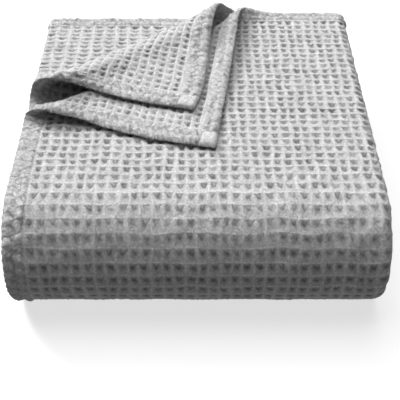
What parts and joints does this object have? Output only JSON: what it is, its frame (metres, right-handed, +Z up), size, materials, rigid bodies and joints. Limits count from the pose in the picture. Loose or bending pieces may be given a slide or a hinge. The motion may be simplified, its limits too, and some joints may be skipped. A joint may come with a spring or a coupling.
{
  "type": "folded waffle-weave throw blanket",
  "caption": "Plain grey waffle-weave throw folded over and over into a neat stack with a full rounded front, its back-left corners turned back to show the hemmed layers.",
  "frame": {"origin": "on the surface it rests on, under the middle of its box", "axes": "+X to the right seen from the rounded front, +Y from the rounded front to the back hem, +Z up"},
  "size_m": [0.3839, 0.4263, 0.1648],
  "materials": {
    "waffle_cloth": "matt undyed-look waffle weave, neutral grey"
  },
  "bodies": {
    "root": {"throw_blanket": "waffle_cloth"}
  },
  "joints": []
}
